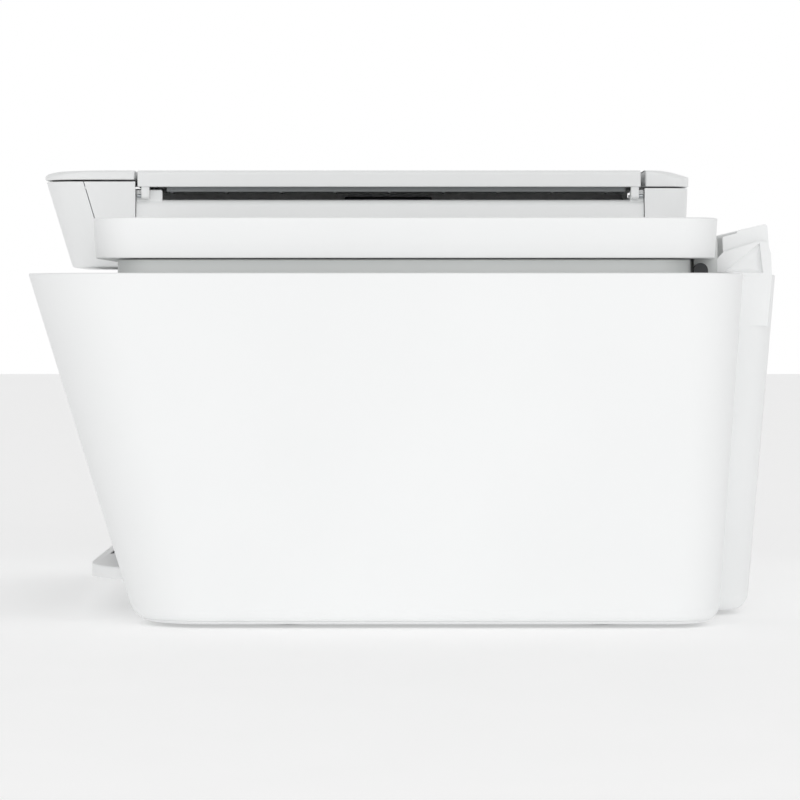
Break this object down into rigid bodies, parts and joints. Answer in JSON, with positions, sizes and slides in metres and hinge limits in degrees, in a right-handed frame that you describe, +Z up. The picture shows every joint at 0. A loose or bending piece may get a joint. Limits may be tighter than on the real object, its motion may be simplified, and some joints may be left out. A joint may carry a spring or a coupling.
{
  "type": "inkjet printer",
  "caption": "Desktop all-in-one inkjet printer with a flatbed scanner under a hinged lid, a sheet feeder on the lid, a rear paper tray and a front output tray.",
  "frame": {"origin": "middle of the footprint at the height the feet stand on", "axes": "+Z up, front and paper output towards -Y, sheet feeder side towards -X"},
  "size_m": [0.428, 0.3397, 0.2013],
  "materials": {
    "white_plastic": "satin",
    "grey_plastic": "satin",
    "dark_plastic": "satin",
    "black_plastic": "satin",
    "display_window": "gloss",
    "steel": "brushed",
    "rubber": "matte",
    "circuit_board": "satin",
    "glass": "gloss",
    "foam": "matte"
  },
  "bodies": {
    "base": {"base_pan": "white_plastic", "main_housing": "white_plastic", "rear_housing": "white_plastic", "scanner_frame": "grey_plastic", "scanner_glass": "glass", "scanner_tub": "dark_plastic", "chassis": "steel", "carriage_rod": "steel", "platen": "black_plastic", "service_station": "grey_plastic", "main_board": "circuit_board", "power_supply": "black_plastic", "usb_socket": "steel", "feed_motor": "steel", "carriage_motor": "steel", "front_bezel": "grey_plastic", "paper_chute": "grey_plastic", "carriage_belt": "rubber", "foot_front_left": "rubber", "foot_front_right": "rubber", "foot_rear_left": "rubber", "foot_rear_right": "rubber"},
    "lid": {"document_lid": "white_plastic", "lid_pad": "foam", "adf_body": "white_plastic", "adf_front_shell": "white_plastic", "adf_front_cap": "white_plastic", "adf_rear_cap": "white_plastic", "adf_ramp": "white_plastic", "adf_tray": "grey_plastic", "display": "display_window"},
    "feeder_cover": {"adf_cover": "white_plastic", "adf_sheet_guide": "dark_plastic"},
    "adf_feed_roller_body": {"adf_feed_roller": "rubber"},
    "adf_pick_roller_body": {"adf_pick_roller": "rubber"},
    "adf_guide_front_body": {"adf_guide_front": "grey_plastic"},
    "adf_guide_rear_body": {"adf_guide_rear": "grey_plastic"},
    "power_button_body": {"power_button": "grey_plastic"},
    "wireless_button_body": {"wireless_button": "grey_plastic"},
    "copy_button_body": {"copy_button": "grey_plastic"},
    "cancel_button_body": {"cancel_button": "grey_plastic"},
    "scan_bar_body": {"scan_bar": "black_plastic"},
    "input_tray_body": {"input_tray": "white_plastic"},
    "paper_support_body": {"paper_support": "grey_plastic"},
    "paper_guide_left_body": {"paper_guide_left": "grey_plastic"},
    "paper_guide_right_body": {"paper_guide_right": "grey_plastic"},
    "cartridge_door_body": {"cartridge_door": "white_plastic"},
    "output_tray_body": {"output_tray": "grey_plastic"},
    "tray_extension_body": {"tray_extension": "white_plastic"},
    "paper_catch_body": {"paper_catch": "grey_plastic"},
    "carriage_body": {"carriage": "dark_plastic"},
    "ink_cartridge_black_body": {"ink_cartridge_black": "black_plastic"},
    "ink_cartridge_colour_body": {"ink_cartridge_colour": "dark_plastic"},
    "belt_pulley_drive_body": {"belt_pulley_drive": "grey_plastic"},
    "belt_pulley_idler_body": {"belt_pulley_idler": "grey_plastic"},
    "feed_roller_body": {"feed_roller": "rubber"},
    "idler_gear_body": {"idler_gear": "white_plastic"},
    "eject_roller_body": {"eject_roller": "rubber"},
    "motor_pinion_body": {"motor_pinion": "steel"},
    "pick_roller_body": {"pick_roller": "rubber"}
  },
  "joints": [
    {"name": "lid_hinge", "type": "hinge", "parent": "base", "child": "lid", "pos_m": [0, 0.134, 0.16], "axis": [-1, 0, 0], "range_deg": [0, 75]},
    {"name": "adf_cover_hinge", "type": "hinge", "parent": "lid", "child": "feeder_cover", "pos_m": [-0.2005, 0, 0.1895], "axis": [0, -1, 0], "range_deg": [0, 70]},
    {"name": "adf_guide_front_slide", "type": "slide", "parent": "lid", "child": "adf_guide_front_body", "axis": [0, 1, 0], "range_m": [0, 0.065]},
    {"name": "adf_guide_rear_slide", "type": "slide", "parent": "lid", "child": "adf_guide_rear_body", "axis": [0, 1, 0], "range_m": [-0.065, 0]},
    {"name": "adf_feed_roller_spin", "type": "hinge", "parent": "lid", "child": "adf_feed_roller_body", "pos_m": [-0.16, 0, 0.1735], "axis": [0, 1, 0], "continuous": true},
    {"name": "adf_pick_roller_spin", "type": "hinge", "parent": "lid", "child": "adf_pick_roller_body", "pos_m": [-0.13, 0, 0.1815], "axis": [0, 1, 0], "continuous": true},
    {"name": "power_button_press", "type": "slide", "parent": "lid", "child": "power_button_body", "axis": [0, 0, -1], "range_m": [0, 0.0008], "stiffness_N_per_m": 300},
    {"name": "wireless_button_press", "type": "slide", "parent": "lid", "child": "wireless_button_body", "axis": [0, 0, -1], "range_m": [0, 0.0008], "stiffness_N_per_m": 300},
    {"name": "copy_button_press", "type": "slide", "parent": "lid", "child": "copy_button_body", "axis": [0, 0, -1], "range_m": [0, 0.0008], "stiffness_N_per_m": 300},
    {"name": "cancel_button_press", "type": "slide", "parent": "lid", "child": "cancel_button_body", "axis": [0, 0, -1], "range_m": [0, 0.0008], "stiffness_N_per_m": 300},
    {"name": "scan_bar_travel", "type": "slide", "parent": "base", "child": "scan_bar_body", "axis": [1, 0, 0], "range_m": [0, 0.3]},
    {"name": "input_tray_tilt", "type": "hinge", "parent": "base", "child": "input_tray_body", "pos_m": [0, 0.1643, 0.15], "axis": [-1, 0, 0], "range_deg": [0, 30]},
    {"name": "paper_support_slide", "type": "slide", "parent": "input_tray_body", "child": "paper_support_body", "axis": [0, 0, 1], "range_m": [0, 0.04]},
    {"name": "paper_guide_left_slide", "type": "slide", "parent": "input_tray_body", "child": "paper_guide_left_body", "axis": [1, 0, 0], "range_m": [0, 0.045]},
    {"name": "paper_guide_right_slide", "type": "slide", "parent": "input_tray_body", "child": "paper_guide_right_body", "axis": [1, 0, 0], "range_m": [-0.045, 0]},
    {"name": "cartridge_door_hinge", "type": "hinge", "parent": "base", "child": "cartridge_door_body", "pos_m": [0, -0.11711, 0.0561], "axis": [1, 0, 0], "range_deg": [0, 70]},
    {"name": "output_tray_slide", "type": "slide", "parent": "base", "child": "output_tray_body", "axis": [0, -1, 0], "range_m": [0, 0.06]},
    {"name": "tray_extension_slide", "type": "slide", "parent": "output_tray_body", "child": "tray_extension_body", "axis": [0, -1, 0], "range_m": [0, 0.06]},
    {"name": "paper_catch_hinge", "type": "hinge", "parent": "tray_extension_body", "child": "paper_catch_body", "pos_m": [0.024, -0.124, 0.0198], "axis": [1, 0, 0], "range_deg": [0, 80]},
    {"name": "carriage_travel", "type": "slide", "parent": "base", "child": "carriage_body", "axis": [-1, 0, 0], "range_m": [0, 0.29]},
    {"name": "black_cartridge_lift", "type": "slide", "parent": "carriage_body", "child": "ink_cartridge_black_body", "axis": [0, 0, 1], "range_m": [0, 0.014]},
    {"name": "colour_cartridge_lift", "type": "slide", "parent": "carriage_body", "child": "ink_cartridge_colour_body", "axis": [0, 0, 1], "range_m": [0, 0.014]},
    {"name": "drive_pulley_spin", "type": "hinge", "parent": "base", "child": "belt_pulley_drive_body", "pos_m": [-0.172, 0.0315, 0.092], "axis": [0, 0, 1], "continuous": true},
    {"name": "idler_pulley_spin", "type": "hinge", "parent": "base", "child": "belt_pulley_idler_body", "pos_m": [0.172, 0.0315, 0.092], "axis": [0, 0, 1], "continuous": true},
    {"name": "feed_roller_spin", "type": "hinge", "parent": "base", "child": "feed_roller_body", "pos_m": [0, 0.02, 0.04], "axis": [1, 0, 0], "continuous": true},
    {"name": "idler_gear_spin", "type": "hinge", "parent": "base", "child": "idler_gear_body", "pos_m": [-0.1975, -0.01507, 0.03187], "axis": [1, 0, 0], "continuous": true},
    {"name": "eject_roller_spin", "type": "hinge", "parent": "base", "child": "eject_roller_body", "pos_m": [0, -0.048, 0.034], "axis": [1, 0, 0], "continuous": true},
    {"name": "motor_pinion_spin", "type": "hinge", "parent": "base", "child": "motor_pinion_body", "pos_m": [-0.1975, 0.04255, 0.03179], "axis": [1, 0, 0], "continuous": true},
    {"name": "pick_roller_spin", "type": "hinge", "parent": "base", "child": "pick_roller_body", "pos_m": [0, 0.0758, 0.0741], "axis": [1, 0, 0], "continuous": true}
  ],
  "couplings": [
    {"joint": "adf_guide_rear_slide", "follows": "adf_guide_front_slide", "ratio": -1},
    {"joint": "paper_guide_right_slide", "follows": "paper_guide_left_slide", "ratio": -1},
    {"joint": "adf_pick_roller_spin", "follows": "adf_feed_roller_spin", "ratio": 1.5333},
    {"joint": "idler_gear_spin", "follows": "feed_roller_spin", "ratio": -1},
    {"joint": "eject_roller_spin", "follows": "feed_roller_spin", "ratio": 1.2},
    {"joint": "motor_pinion_spin", "follows": "feed_roller_spin", "ratio": -3},
    {"joint": "drive_pulley_spin", "follows": "carriage_travel", "rad_per_m": -158.73},
    {"joint": "idler_pulley_spin", "follows": "carriage_travel", "rad_per_m": -158.73}
  ]
}
